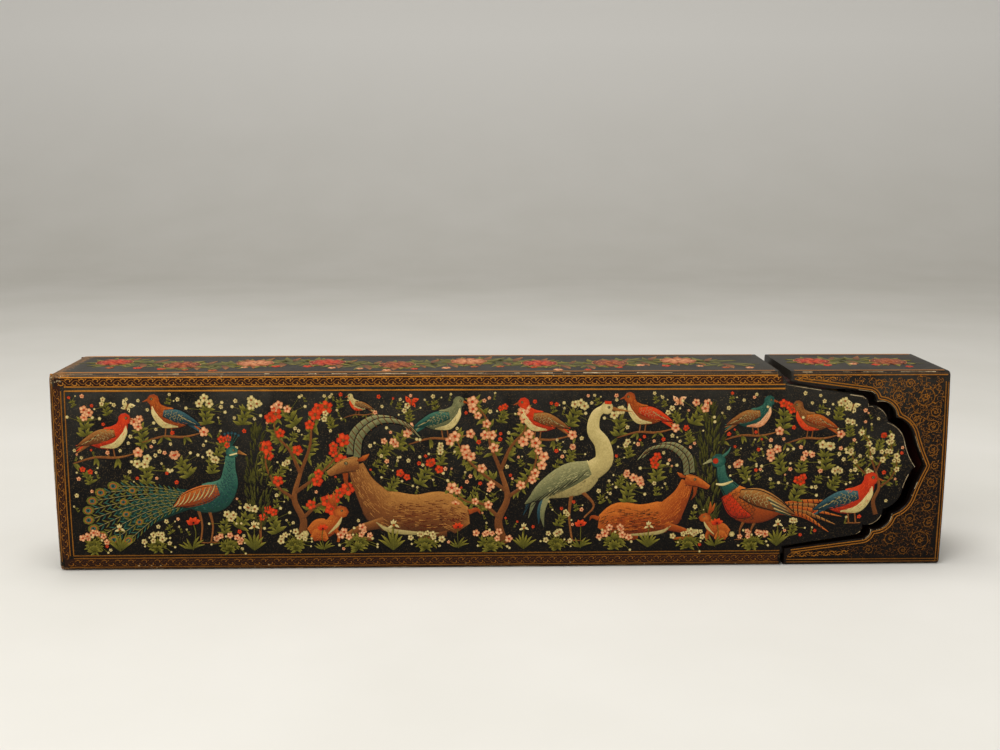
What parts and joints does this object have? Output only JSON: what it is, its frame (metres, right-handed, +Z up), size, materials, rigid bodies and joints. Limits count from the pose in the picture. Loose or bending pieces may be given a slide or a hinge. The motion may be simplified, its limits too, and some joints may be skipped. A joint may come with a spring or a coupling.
{
  "type": "lacquer pen box",
  "caption": "Long lacquered papier-mache pen box: a shell with cusped tongues and a sliding drawer whose head closes round them, with a lidded brass inkwell inside",
  "frame": {"origin": "under the middle of the box, on the surface that its long narrow side rests on", "axes": "+X along the box to the drawer's head, -Y out of the front broad face, on which the drawer opens, +Z up as the box stands on its narrow side"},
  "size_m": [0.282, 0.0376, 0.0634],
  "materials": {
    "lacquered_papier_mache": "papier-mache, black ground painted and gilded, under a glossy oil varnish",
    "tray_lacquer": "papier-mache with a dark red oil-varnished ground",
    "sheet_brass": "hammered sheet, dulled by handling",
    "turned_brass": "turned, worn bright on the edges",
    "inked_silk": "matted raw silk soaked in black ink"
  },
  "bodies": {
    "case": {"case_shell": "lacquered_papier_mache"},
    "drawer": {"drawer_tray": "tray_lacquer", "drawer_head": "lacquered_papier_mache", "ink_partitions": "tray_lacquer", "inkwell_pot": "sheet_brass", "inkwell_plate": "sheet_brass", "inkwell_collar": "turned_brass", "inkwell_hinge_leaf": "sheet_brass", "inkwell_hinge_pin": "turned_brass", "silk_wad": "inked_silk"},
    "inkwell_cover": {"inkwell_lid": "turned_brass", "inkwell_lid_knob": "turned_brass"}
  },
  "joints": [
    {"name": "drawer_slide", "type": "slide", "parent": "case", "child": "drawer", "axis": [1, 0, 0], "range_m": [-0.001, 0.215]},
    {"name": "inkwell_lid_hinge", "type": "hinge", "parent": "drawer", "child": "inkwell_cover", "pos_m": [0.0965, -0.00275, 0.039], "axis": [-1, 0, 0], "range_deg": [0, 100]}
  ]
}
